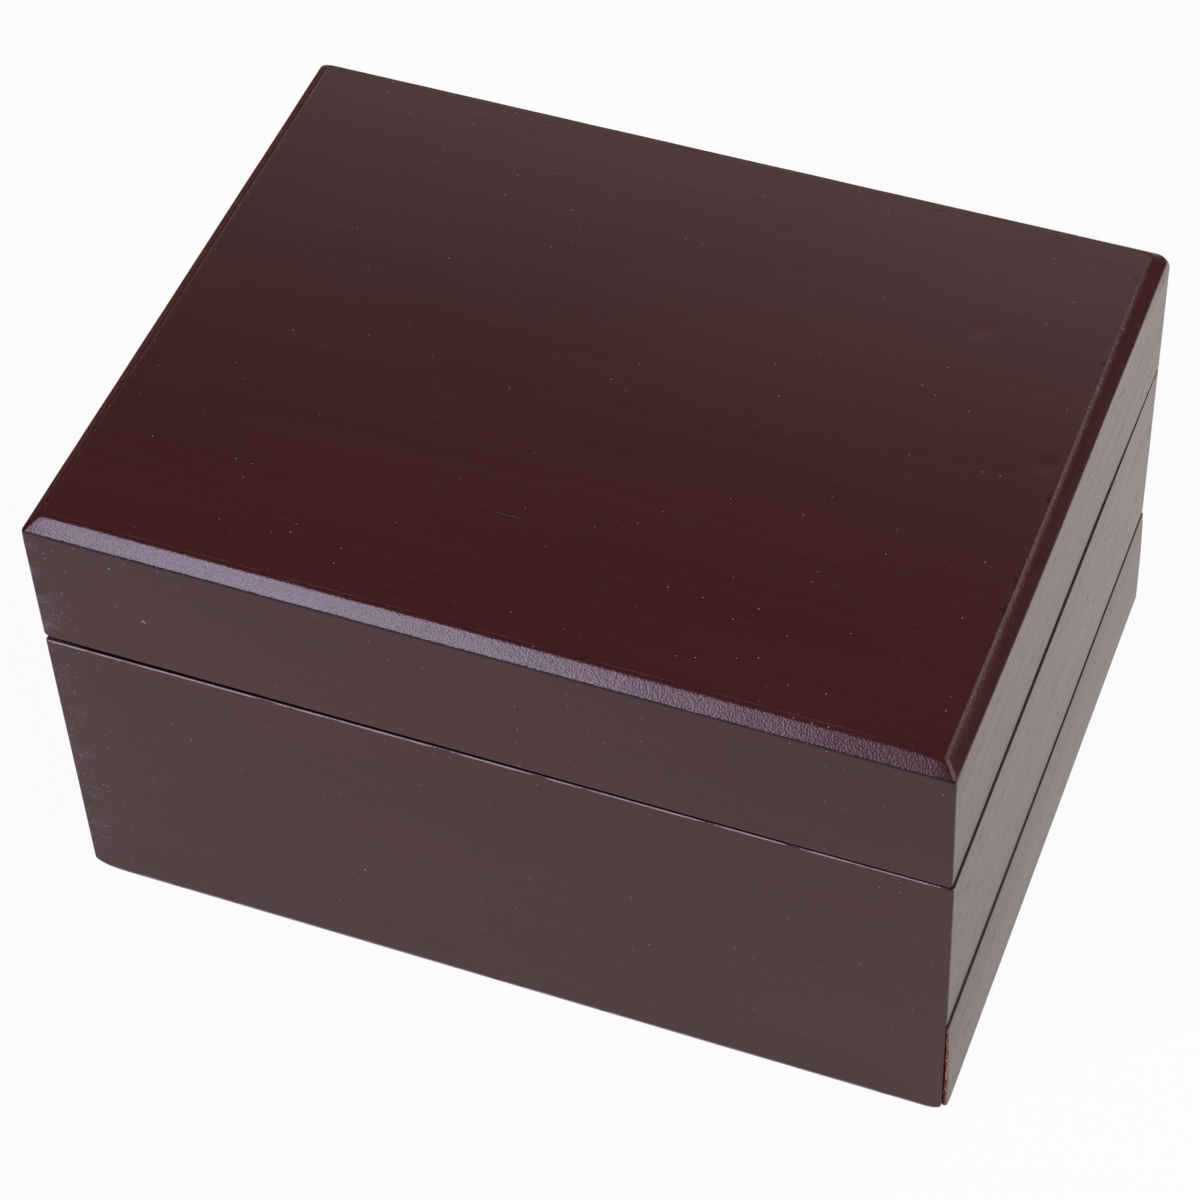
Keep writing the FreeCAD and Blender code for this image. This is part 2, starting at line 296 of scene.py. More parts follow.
def stretched_noise(tree, place, waves, detail, rough=0.5, distort=0.0):
    """Noise stretched along the axes; waves is how many per millimetre along each."""
    mapped = node(tree, "Mapping", {"Vector": place, "Scale": waves})
    made = node(tree, "TexNoise", {"Vector": mapped.outputs[0], "Scale": 1.0, "Detail": detail,
                                   "Roughness": rough, "Distortion": distort})
    return made.outputs["Fac"]


def remapped(tree, value, low, high, to_low=0.0, to_high=1.0):
    """A value stretched from one range to another and held inside it."""
    made = node(tree, "MapRange", {"Value": value, "From Min": low, "From Max": high,
                                   "To Min": to_low, "To Max": to_high})
    return made.outputs[0]


def maths(tree, operation, first, second=0.0):
    """One sum of two values."""
    return node(tree, "Math", {0: first, 1: second}, operation=operation).outputs[0]


def scaled(tree, value, factor):
    """A value times a factor."""
    return maths(tree, "MULTIPLY", value, factor)


def mixed(tree, share, first, second):
    """A colour between two colours."""
    return node(tree, "Mix", {0: share, 6: first, 7: second}, data_type="RGBA").outputs[2]


# Place is in millimetres, with X along the grain, Y across the face and Z into the board
streak_waves = (0.018, 0.7, 0.7)
cloud_waves = (0.008, 0.03, 0.03)
pore_waves = (0.16, 1.9, 1.9)
figure, figure_in, figure_out = new_group(
    "wood figure", [("Place", "Vector")], [("Streak", "Float"), ("Cloud", "Float"), ("Pore", "Float")])
place = figure_in.outputs["Place"]
streak = stretched_noise(figure, place, streak_waves, 6.0, 0.65, 0.3)
cloud = stretched_noise(figure, place, cloud_waves, 2.0)
pore = stretched_noise(figure, place, pore_waves, 1.0)
figure.links.new(remapped(figure, streak, 0.3, 0.7), figure_out.inputs["Streak"])
figure.links.new(remapped(figure, cloud, 0.3, 0.7), figure_out.inputs["Cloud"])
figure.links.new(remapped(figure, pore, 0.715, 0.75), figure_out.inputs["Pore"])

ripple_waves = (1.7, 1.7, 1.7)
haze_waves = (0.007, 0.2, 0.2)
skin, skin_in, skin_out = new_group(
    "lacquer skin", [("Place", "Vector")], [("Ripple", "Float"), ("Haze", "Float")])
place = skin_in.outputs["Place"]
skin.links.new(stretched_noise(skin, place, ripple_waves, 1.5), skin_out.inputs["Ripple"])
skin.links.new(stretched_noise(skin, place, haze_waves, 4.0, 0.6), skin_out.inputs["Haze"])

smallest_speck = 0.05
largest_speck = 0.14
# Pale specks: dust, and where a surface is marked as scuffed, chips and painted highlight specks.
dust_and_glint_specks, specks_in, specks_out = new_group(
    "dust specks", [("Place", "Vector"), ("Amount", "Float"), ("Closeness", "Float")], [("Speck", "Float")])
closeness = specks_in.outputs["Closeness"]
cells = node(dust_and_glint_specks, "TexVoronoi", {"Vector": specks_in.outputs["Place"], "Scale": closeness, "Randomness": 1.0},
             voronoi_dimensions="2D")
chance = node(dust_and_glint_specks, "SeparateColor", {"Color": cells.outputs["Color"]})
kept = maths(dust_and_glint_specks, "LESS_THAN", chance.outputs["Red"], specks_in.outputs["Amount"])
size = remapped(dust_and_glint_specks, chance.outputs["Green"], 0.0, 1.0, smallest_speck, largest_speck)
speck = maths(dust_and_glint_specks, "LESS_THAN", cells.outputs["Distance"], scaled(dust_and_glint_specks, size, closeness))
dust_and_glint_specks.links.new(scaled(dust_and_glint_specks, speck, kept), specks_out.inputs["Speck"])

rub_waves = (0.25, 0.25, 0.25)
wear, wear_in, wear_out = new_group(
    "edge wear", [("Place", "Vector"), ("Arris", "Float")], [("Worn", "Float")])
rub = stretched_noise(wear, wear_in.outputs["Place"], rub_waves, 4.0, 0.65)
worn = scaled(wear, remapped(wear, rub, 0.5, 0.72), wear_in.outputs["Arris"])
wear.links.new(worn, wear_out.inputs["Worn"])

fleck_waves = (4.2, 4.2, 4.2)
patch_waves = (0.12, 0.12, 0.12)
fleck_bar = 0.72
bar_drop = 0.2
fleck_crispness = 25.0
least_scuffs_and_glints = 0.05
# Pale flecks where a surface is scuffed; the same flecks paint highlights where the front wall's rim and foot
# are marked.
scuff_and_glint_flecks, scuff_and_glint_in, scuff_and_glint_out = new_group(
    "scuffs", [("Place", "Vector"), ("Scuffed", "Float")], [("Fleck", "Float")])
fine = stretched_noise(scuff_and_glint_flecks, scuff_and_glint_in.outputs["Place"], fleck_waves, 2.0)
patch = stretched_noise(scuff_and_glint_flecks, scuff_and_glint_in.outputs["Place"], patch_waves, 2.0)
amount = scaled(scuff_and_glint_flecks, scuff_and_glint_in.outputs["Scuffed"], remapped(scuff_and_glint_flecks, patch, 0.3, 0.7))
bar = maths(scuff_and_glint_flecks, "SUBTRACT", fleck_bar, scaled(scuff_and_glint_flecks, amount, bar_drop))
above = scaled(scuff_and_glint_flecks, maths(scuff_and_glint_flecks, "SUBTRACT", fine, bar), fleck_crispness)
fleck = scaled(scuff_and_glint_flecks, node(scuff_and_glint_flecks, "Clamp", {0: above}).outputs[0],
               maths(scuff_and_glint_flecks, "GREATER_THAN", amount, least_scuffs_and_glints))
scuff_and_glint_flecks.links.new(fleck, scuff_and_glint_out.inputs["Fleck"])

gouge, gouge_in, gouge_out = new_group(
    "gouge", [("Place", "Vector"), ("Spot", "Vector"), ("Reach", "Vector")], [("Cut", "Float")])
spot = gouge_in.outputs["Spot"]
away = node(gouge, "VectorMath", {0: gouge_in.outputs["Place"], 1: spot}, operation="SUBTRACT")
away = node(gouge, "VectorMath", {0: away.outputs[0], 1: gouge_in.outputs["Reach"]}, operation="DIVIDE")
away = node(gouge, "VectorMath", {0: away.outputs[0]}, operation="LENGTH")
gouge.links.new(remapped(gouge, away.outputs["Value"], 0.4, 1.0, 1.0, 0.0), gouge_out.inputs["Cut"])

board_frames = {
    "front": Matrix(((1, 0, 0), (0, 0, 1), (0, -1, 0))),
    "right": Matrix(((0, 1, 0), (0, 0, 1), (1, 0, 0))),
    "top": Matrix(((1, 0, 0), (0, 1, 0), (0, 0, 1))),
    "cross": Matrix(((0, 1, 0), (-1, 0, 0), (0, 0, 1))),
}
any_depth = 1e6


def board_place(tree, facing, shift):
    """Millimetres on the board: along its grain, across its face and into it; shift picks another part of the
    tree."""
    where = node(tree, "TexCoord", {})
    turned = node(tree, "Mapping", {"Vector": where.outputs["Object"], "Location": shift,
                                    "Rotation": board_frames[facing].to_euler("XYZ"),
                                    "Scale": (1000, 1000, 1000)})
    return turned.outputs[0]


def dug(tree, place, shift, mark):
    """A mask over one gouge or nick, which is (along, across, half length, half width) in mm."""
    along, across, length, width = mark
    links = {"Place": place, "Spot": (along + shift[0], across + shift[1], 0.0),
             "Reach": (length, width, any_depth)}
    return placed_group(tree, gouge, links)["Cut"]


def new_material(name):
    """A material with its node tree and its shader."""
    material = bpy.data.materials.new(name)
    material.use_nodes = True
    tree = material.node_tree
    return material, tree, tree.nodes["Principled BSDF"]


def bumped(tree, shader, height, depth):
    """Raises a shader's surface by a height, of which 1 is so deep."""
    bump = node(tree, "Bump", {"Height": height, "Strength": 1.0, "Distance": depth})
    tree.links.new(bump.outputs[0], shader.inputs["Normal"])


deep_mahogany = (0.045, 0.0068, 0.0070, 1.0)
warm_mahogany = (0.060, 0.0105, 0.0102, 1.0)
pore_brown = (0.012, 0.004, 0.004, 1.0)
# Near black for the painted shade in the seams and under the front bevel.
painted_shade_black = (0.007, 0.003, 0.003, 1.0)
worn_red = (0.085, 0.024, 0.018, 1.0)
# Pale grey for dust, scuffs, chips and nicks, and for the painted highlights along the front wall's rim and
# foot.
dust_and_glint_grey = (0.62, 0.56, 0.55, 1.0)
lacquer_ior = 1.42
stain_roughness = 0.28
haze_roughness = 0.02
pore_roughness = 0.7
inside_roughness = 0.12
pale_roughness = 0.4
streak_share = 0.45
cloud_share = 0.55
speck_closeness = 0.2
chip_and_glint_closeness = 0.7
chip_and_glint_amount = 0.25
fleck_paleness = 0.55
worn_strength = 0.5
# How dark the painted seam shade is.
painted_seam_shade_strength = 0.8
gouge_darkness = 0.5
flat_ripple = 0.15
bevel_ripple = 2.6
streak_relief = 0.06
gouge_relief = 2.0
lacquer_relief = 0.03 * mm


def stained_wood(name, facing, shift, dust_amount=0.1, open_pores=1.0, gouges=(), nicks=()):
    """Dark stained mahogany under satin lacquer. open_pores is how far the lacquer has left the pores open;
    gouges and pale nicks are (along, across, half length, half width) in mm."""
    material, tree, shader = new_material(name)
    place = board_place(tree, facing, shift)
    masks = ("arris", "inside", "scuffed", "peel", "meeting")
    arris, inside, scuffed, peel, meeting = [node(tree, "Attribute", {}, attribute_name=mask).outputs["Fac"]
                                             for mask in masks]
    wood = placed_group(tree, figure, {"Place": place})
    film = placed_group(tree, skin, {"Place": place})
    rubbed = placed_group(tree, wear, {"Place": place, "Arris": arris})
    flecks = placed_group(tree, scuff_and_glint_flecks, {"Place": place, "Scuffed": scuffed})["Fleck"]
    specks = placed_group(tree, dust_and_glint_specks, {"Place": place, "Amount": dust_amount,
                                       "Closeness": speck_closeness})["Speck"]
    # Chips where a surface is scuffed, and painted highlight specks along the front wall's rim and foot.
    chips_and_glint_specks = placed_group(tree, dust_and_glint_specks, {"Place": place, "Amount": scaled(tree, scuffed, chip_and_glint_amount),
                                      "Closeness": chip_and_glint_closeness})["Speck"]
    cuts = [dug(tree, place, shift, mark) for mark in gouges]
    pale = maths(tree, "MAXIMUM", specks, scaled(tree, flecks, fleck_paleness))
    for mark in [chips_and_glint_specks] + [dug(tree, place, shift, nick) for nick in nicks]:
        pale = maths(tree, "MAXIMUM", pale, mark)
    unpeeled = maths(tree, "SUBTRACT", 1.0, peel)
    pores = scaled(tree, wood["Pore"], scaled(tree, unpeeled, open_pores))
    tone = maths(tree, "ADD", scaled(tree, wood["Streak"], streak_share),
                 scaled(tree, wood["Cloud"], cloud_share))
    colour = mixed(tree, tone, deep_mahogany, warm_mahogany)
    colour = mixed(tree, pores, colour, pore_brown)
    colour = mixed(tree, scaled(tree, rubbed["Worn"], worn_strength), colour, worn_red)
    # Painted shade: the seams' rounded edges and the front bevel's lower edge are darkened nearly to black.
    colour = mixed(tree, scaled(tree, meeting, painted_seam_shade_strength), colour, painted_shade_black)
    for cut in cuts:
        colour = mixed(tree, scaled(tree, cut, gouge_darkness), colour, pore_brown)
    # Pale marks: dust, scuff flecks, chips and nicks, and painted highlights on the front wall's rim and
    # foot.
    colour = mixed(tree, pale, colour, dust_and_glint_grey)
    tree.links.new(colour, shader.inputs["Base Color"])
    rough = remapped(tree, film["Haze"], 0.3, 0.7, stain_roughness - haze_roughness,
                     stain_roughness + haze_roughness)
    rough = maths(tree, "ADD", rough, scaled(tree, pores, pore_roughness))
    rough = maths(tree, "ADD", rough, scaled(tree, inside, inside_roughness))
    rough = maths(tree, "ADD", rough, scaled(tree, pale, pale_roughness))
    tree.links.new(rough, shader.inputs["Roughness"])
    shader.inputs["IOR"].default_value = lacquer_ior
    ripple = maths(tree, "ADD", scaled(tree, peel, bevel_ripple), flat_ripple)
    height = maths(tree, "ADD", scaled(tree, film["Ripple"], ripple),
                   scaled(tree, wood["Streak"], streak_relief))
    height = maths(tree, "SUBTRACT", height, pores)
    for cut in cuts:
        height = maths(tree, "SUBTRACT", height, scaled(tree, cut, gouge_relief))
    bumped(tree, shader, height, lacquer_relief)
    return material


raw_dark = (0.06, 0.012, 0.008, 1.0)
raw_light = (0.30, 0.075, 0.036, 1.0)
splinter_salmon = (0.80, 0.36, 0.22, 1.0)
fibre_waves = (0.7, 0.7, 0.7)
bare_streak_share = 0.7
bare_cloud_share = 0.3
bare_pore_strength = 0.8
bare_pore_shade = 0.4
bare_roughness_swing = 0.08
bare_relief = 0.04 * mm


def bare_wood(name, facing, shift, dark=raw_dark, light=raw_light, roughness=0.75, splinters=0.0):
    """Bare sawn or planed wood, with no stain or lacquer on it; splinters is how much torn fibre shows."""
    material, tree, shader = new_material(name)
    place = board_place(tree, facing, shift)
    wood = placed_group(tree, figure, {"Place": place})
    fibres = stretched_noise(tree, place, fibre_waves, 3.0, 0.7)
    torn = scaled(tree, remapped(tree, fibres, 0.5, 0.6), splinters)
    tone = maths(tree, "ADD", scaled(tree, wood["Streak"], bare_streak_share),
                 scaled(tree, wood["Cloud"], bare_cloud_share))
    colour = mixed(tree, tone, dark, light)
    shade = [bare_pore_shade * channel for channel in dark[:3]] + [1.0]
    colour = mixed(tree, scaled(tree, wood["Pore"], bare_pore_strength), colour, shade)
    colour = mixed(tree, torn, colour, splinter_salmon)
    tree.links.new(colour, shader.inputs["Base Color"])
    rough = remapped(tree, wood["Streak"], 0.0, 1.0, roughness - bare_roughness_swing,
                     roughness + bare_roughness_swing)
    tree.links.new(rough, shader.inputs["Roughness"])
    height = maths(tree, "SUBTRACT", maths(tree, "ADD", wood["Streak"], torn), wood["Pore"])
    bumped(tree, shader, height, bare_relief)
    return material


raw_end = bare_wood("raw mitre", "right", (31, 7, 3), splinters=0.9)
wall_nicks = [(-40.2, 36.5, 0.35, 0.3)]
stain = {
    "front": stained_wood("front wall stain", "front", (0, 0, 0), 0.16, 0.25, nicks=wall_nicks),
    "right": stained_wood("right wall stain", "right", (210, 40, 15)),
    "back": stained_wood("back wall stain", "front", (450, 80, 30)),
    "left": stained_wood("left wall stain", "right", (690, 120, 45)),
}
for side in ("front", "left", "right"):
    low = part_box(wall_names[side])[0].z
    grooves = [floor_cut] if side == "right" else [floor_cut, bottom_cut]
    lower = seam_round if side == "right" else foot_round
    outline = board_section(low, rim_z, lower, rim_round[side], grooves, board_step)
    out_way = side_way(side)
    piece = mitred_board(side + "_wall", side, *side_span(side), lambda along: outline,
                         lambda place: settled_wall(place, out_way), scuffs_and_painted_glints)
    piece.data.materials.append(stain[side])
    piece.data.materials.append(raw_end)
    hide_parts(wall_names[side])
    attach(piece, "case")

# Back wall of the body.
# The same mahogany board as the front, with two hinge leaves let into its top edge and that edge planed off
# behind them, so that the open lid leans on it.


def finish_node(name, material):
    """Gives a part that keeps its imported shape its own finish."""
    for held in frame["nodes"][name].material_slots:
        held.material = material


finish_node("back_panel", stain["back"])

# Bottom of the box.
# A thin board of plain mahogany, let flush into rebates round the walls and open to the drawer at the right.
plain_dark = (0.20, 0.075, 0.038, 1.0)
plain_light = (0.36, 0.17, 0.095, 1.0)
finish_node("bottom_panel", bare_wood("bottom board", "top", (55, 260, 0), plain_dark, plain_light))

# Floor under the lid.
# A stained board held in grooves in the four walls, with a long slot through which gifts drop into the
# drawer.
finish_node("compartment_floor", stained_wood("compartment floor stain", "top", (130, 310, 60), 0.05))

# Drawer sides, back and bottom.
# Plain mahogany boards housed into each other, with the bottom sheet slid into grooves; not stained.
drawer_easing = 0.5 * mm
same_place = 1e-6
flat_turn = 0.01
sharp_turn = 0.5
drawer_boards = {
    "drawer_near_board": ("drawer_near_side", "front", (0, 500, 0)),
    "drawer_far_board": ("drawer_far_side", "front", (300, 560, 20)),
    "drawer_end_board": ("drawer_back", "right", (600, 620, 40)),
}


def eased_copy(name, node_name, easing):
    """A packed board with the sharpness taken off its edges."""
    bm = bmesh.new()
    bm.from_mesh(frame["nodes"][node_name].data)
    bmesh.ops.remove_doubles(bm, verts=bm.verts, dist=same_place)
    bmesh.ops.dissolve_limit(bm, angle_limit=flat_turn, verts=bm.verts, edges=bm.edges)
    sharp = [edge for edge in bm.edges if edge.is_manifold and edge.calc_face_angle() > sharp_turn]
    bmesh.ops.bevel(bm, geom=sharp, offset=easing, segments=2, affect="EDGES", profile=0.5,
                    clamp_overlap=True)
    return finished_mesh(name, bm)


for name, (node_name, facing, shift) in drawer_boards.items():
    piece = eased_copy(name, node_name, drawer_easing)
    piece.data.materials.append(bare_wood(name + " wood", facing, shift, plain_dark, plain_light, 0.6))
    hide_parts(node_name)
    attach(piece, "drawer")
sheet_wood = bare_wood("drawer bottom sheet", "cross", (900, 680, 60), plain_dark, plain_light, 0.65)
finish_node("drawer_bottom", sheet_wood)

# Drawer front.
# A mahogany board mitred and stained like the walls, standing a little proud. Its mitred ends were never
# stained, and the near one shows as a raw, splintered strip at the front corner.
front_low, front_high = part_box("drawer_front")
sheet_low, sheet_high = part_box("drawer_bottom")
drawer_out = front_high.x
sheet_cut = (sheet_low.z, sheet_high.z, sheet_high.x - front_low.x)
drawer_row = 0.8 * mm
drawer_end_round = 0.4 * mm
drawer_corner = (5.5 * mm, 4.2 * mm)
drawer_skew = 0.3 * mm
drawer_belly = 0.35 * mm
drawer_tilt = 0.75 * mm
splinter_depth = 0.5 * mm
splinter_reach = 2.0 * mm
chip_waves = 900
fine_chip_waves = 2300
ragged_waves = 700
ragged_share = 0.6
drawer_section = board_section(front_low.z, front_high.z, foot_round, seam_round, [sheet_cut], drawer_row)


def splintered(place):
    """The drawer front stands less proud at its far end and along its top, and its near corner is chipped."""
    place = rounded_corner(hand_planed(place, Vector((1, 0, 0))), drawer_out, 0.0, *drawer_corner)
    outer = (place.x - front_low.x) / wall
    place.x -= outer * drawer_skew * (place.y + face_y) / (2 * face_y)
    rise = (place.z - front_low.z) / (front_high.z - front_low.z)
    place.x -= outer * drawer_tilt * rise ** 3
    near = max(0.0, 1 - (place.y + face_y) / splinter_reach)
    chip = max(0.0, noise.noise(place * chip_waves) + 0.5 * noise.noise(place * fine_chip_waves))
    place.x += drawer_belly * at_front_right(place)
    place.x -= ragged_share * splinter_depth * near * outer * abs(noise.noise(place * ragged_waves))
    place.y += splinter_depth * near * chip
    return place


piece = mitred_board("drawer_face", "right", face_y, drawer_out, lambda along: drawer_section, splintered,
                     lambda place: 0.0, drawer_end_round)
piece.data.materials.append(stained_wood("drawer front stain", "right", (930, 160, 75)))
piece.data.materials.append(raw_end)
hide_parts("drawer_front")
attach(piece, "drawer")

# Lid rails.
# Four mahogany boards mitred and glued into a frame that carries the top. The frame has pulled a little out
# of true, so the seam under it is wide at the front left corner and all but shut at the right.
rail_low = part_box("lid_front_rail")[0].z
rail_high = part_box("lid_front_rail")[1].z
warp_left = 0.95 * mm
warp_right = -0.15 * mm
right_bow = 0.9 * mm
lid_lean = 0.5 * mm
lid_inset = 0.45 * mm
rail_corner_left = 2.2 * mm
rail_corner_right = 0.9 * mm
right_seam_round = 0.3 * mm
corner_rub = 0.7 * mm
corner_rub_reach = 30 * mm
glued_edge = 0.02 * mm
lid_nicks = [(-97.3, 121.7, 0.45, 0.3), (-96.8, 121.3, 0.4, 0.25), (-104.6, 140.1, 0.3, 0.3)]
rail_stain = {
    "front": stained_wood("lid front stain", "front", (1200, 200, 90), 0.16, 0.25, nicks=lid_nicks),
    "right": stained_wood("lid right stain", "right", (1430, 240, 105)),
    "back": stained_wood("lid back stain", "front", (1660, 280, 120)),
    "left": stained_wood("lid left stain", "right", (1890, 320, 135)),
}


def rightwardness(x):
    """0 at the left end of the box and 1 at its right end."""
    return (x + end_x) / (2 * end_x)


def set_in(place):
    """How far the lid's right side stands inside the wall below it: in full along the front two thirds, and
    not at all at the back, where the hinges hold it."""
    return lid_inset * clamped(3 * forwardness(place)) * right_skin(place)


def warped(place, out_way):
    """A place on the lid's frame, moved as the frame has pulled; the back edge stays on its hinges."""
    corner = rail_corner_left if place.x < 0 else rail_corner_right
    place = rounded_corner(hand_planed(place, out_way), end_x, rail_low, corner, corner)
    forward = forwardness(place)
    rightward = rightwardness(place.x)
    drop = (rail_high - place.z) / (rail_high - rail_low)
    lift = (warp_left + (warp_right - warp_left) * rightward) * forward
    lift += right_bow * rightward ** 8 * 4 * forward * (1 - forward)
    place.x -= lid_lean * (1 - drop) * at_front_right(place) + set_in(place)
    place.z += lift * drop
    if place.y > axis_y:
        place.z = max(place.z, axis_z + (place.y - axis_y) / math.tan(stop_lean))
    return place


def rail_section(side, along):
    """A rail's section; the right rail's lower edge is rubbed rounder towards its front end."""
    lower = seam_round
    if side == "right":
        lower = right_seam_round + corner_rub * max(0.0, 1 - (along + face_y) / corner_rub_reach)
    return board_section(rail_low, rail_high, lower, glued_edge, [], board_step)


for side in ("front", "left", "right"):
    out_way = side_way(side)
    piece = mitred_board("lid_" + side + "_board", side, *side_span(side),
                         lambda along: rail_section(side, along), lambda place: warped(place, out_way),
                         scuffs_and_painted_glints)
    piece.data.materials.append(rail_stain[side])
    piece.data.materials.append(raw_end)
    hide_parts("lid_" + side + "_rail")
    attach(piece, "lid")
finish_node("lid_back_rail", rail_stain["back"])

# Lid top.
# One wide mahogany board, plugged down between the rails, with a bevel planed round its upper edge.
# The bevel's upper edge is sanded soft, and the top has taken small dents in use.
top_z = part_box("lid_top")[1].z
plug_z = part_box("lid_top")[0].z
bevel_wide = 4.05 * mm
bevel_wander = 0.12 * mm
bevel_upper = {"front": 2.0 * mm, "right": 6.5 * mm, "back": 2.5 * mm, "left": 2.5 * mm}
bevel_lower = {"front": 1.1 * mm, "right": 1.6 * mm, "back": 0.8 * mm, "left": 0.8 * mm}
bevel_shares = (0.06, 0.35, 0.65, 0.94)
border_shares = (0.35, 0.7, 1.0)
bevel_end = 0.1 * mm
right_drop = 1.0 * mm
top_lean = 0.9 * mm
top_corner = {(-1, -1): 0.5 * mm, (1, -1): 0.5 * mm, (-1, 1): 1.0 * mm, (1, 1): 3.0 * mm}
plug_corner = 0.02 * mm
top_step = 2.0 * mm
corner_lines = [5.0 * mm, 5.5 * mm, 6.1 * mm, 7.0 * mm, 8.5 * mm]
arc_lines = 3
round_blend = 8
undulation = 0.02 * mm
top_dents = [
    (0.0904, 0.0507, 0.004, 0.12 * mm),
    (0.1201, 0.0071, 0.0045, 0.14 * mm),
    (0.060, 0.020, 0.006, 0.05 * mm),
]
top_gouges = [
    (14.0, 32.7, 2.6, 0.32),
    (20.9, -2.5, 2.4, 0.28),
    (0.6, -0.7, 2.3, 0.28),
    (-7.9, -55.6, 4.2, 0.35),
]
upper_scuffs = 1.0
lower_scuffs = 0.2
right_wear = 0.4
other_wear = 0.3


def board_lines(half):
    """Lines across the top board, close together near its edges."""
    flat = half - corner_lines[-1]
    count = round(2 * flat / top_step)
    middle = [-flat + 2 * flat * i / count for i in range(count + 1)]
    first = [-half] + [line - half for line in corner_lines[:-1]]
    last = [half - line for line in corner_lines[-2::-1]] + [half]
    return first + middle + last


lines_x = board_lines(end_x)
lines_y = board_lines(face_y)
last_x = len(lines_x) - 1
last_y = len(lines_y) - 1


def bevel_at(x, y):
    """The bevel's width, which wanders a little."""
    return bevel_wide + bevel_wander * noise.noise(Vector((x * 60, y * 60, 5.0)))


def settled_top(x, y, z):
    """A place on the top board. Its right side is planed lower and leans in towards both corners, and bows
    out between them."""
    place = Vector((x, y, z))
    outside = max(0.0, (x - end_x + wall) / wall)
    rise = max(0.0, (z - rail_high) / (top_z - rail_high))
    to_corner = (y / face_y) ** 2
    inward = lid_lean * at_front_right(place) * (1 - rise) + set_in(place)
    inward += top_lean * outside * rise * (2 * to_corner - 1)
    return place - Vector((inward, 0.0, right_drop * rise * rightwardness(x) * to_corner))


def rim_point(ix, iy, inset, corner):
    """A point of the top board's outline, set in by inset and rounded at the corners."""
    near = min(ix, last_x - ix) + min(iy, last_y - iy)
    sign_x = 1 if ix > last_x / 2 else -1
    sign_y = 1 if iy > last_y / 2 else -1
    on_end = ix in (0, last_x)
    if near <= arc_lines:
        angle = math.radians(45 * (1 - near / arc_lines))
        across, along = corner * math.cos(angle), corner * math.sin(angle)
        step_x, step_y = (across, along) if on_end else (along, across)
        return sign_x * (end_x - inset - corner + step_x), sign_y * (face_y - inset - corner + step_y)
    if on_end:
        return sign_x * (end_x - inset), lines_y[iy]
    return lines_x[ix], sign_y * (face_y - inset)


def bevel_rows(bevel, upper, lower):
    """The bevel's section from the top down to the rails: (inset, height, how scuffed, whether on its lower
    edge)."""
    rows = []
    soft = bevel + upper * math.tan(math.pi / 8)
    for i in range(arc_steps + 1):
        angle = math.pi / 4 * i / arc_steps
        edge = max(0.0, upper_scuffs - abs(i - 2) / 2)
        rows.append((soft - upper * math.sin(angle), top_z - upper + upper * math.cos(angle), edge, False))
    start, end = rows[-1][0], lower * (1 - math.sin(math.pi / 4))
    for share in bevel_shares:
        inset = start + (end - start) * share
        rows.append((inset, top_z - bevel + inset, 0.0, False))
    foot_z = top_z - bevel - lower * math.tan(math.pi / 8)
    for i in range(arc_steps + 1):
        angle = math.pi / 4 * (1 + i / arc_steps)
        rows.append((lower * (1 - math.sin(angle)), foot_z + lower * math.cos(angle), lower_scuffs, i > 0))
    rows.append((0.0, foot_z - edge_margin, 0.0, False))
    for share in border_shares:
        rows.append((0.0, foot_z + (rail_high - foot_z) * share, 0.0, False))
    return rows


def edge_round(rounds, ix, iy):
    """The radius of a bevel's edge at a place on the border; it changes from side to side over the corner's
    lines."""
    across = "left" if ix < last_x / 2 else "right"
    along = "front" if iy < last_y / 2 else "back"
    apart = min(ix, last_x - ix) - min(iy, last_y - iy)
    share = clamped(0.5 + apart / (2 * round_blend))
    return rounds[across] + (rounds[along] - rounds[across]) * share


def used_top(x, y):
    """How far the top board's surface lies below flat: a slow undulation and a few dents, which are
    (x, y, radius, depth) in metres."""
    sunk = undulation * noise.noise(Vector((x * 25, y * 40, 1.0)))
    for dent_x, dent_y, radius, depth in top_dents:
        apart = math.hypot(x - dent_x, y - dent_y) / radius
        if apart < 1:
            sunk += depth * (1 - apart * apart) ** 2
    return sunk


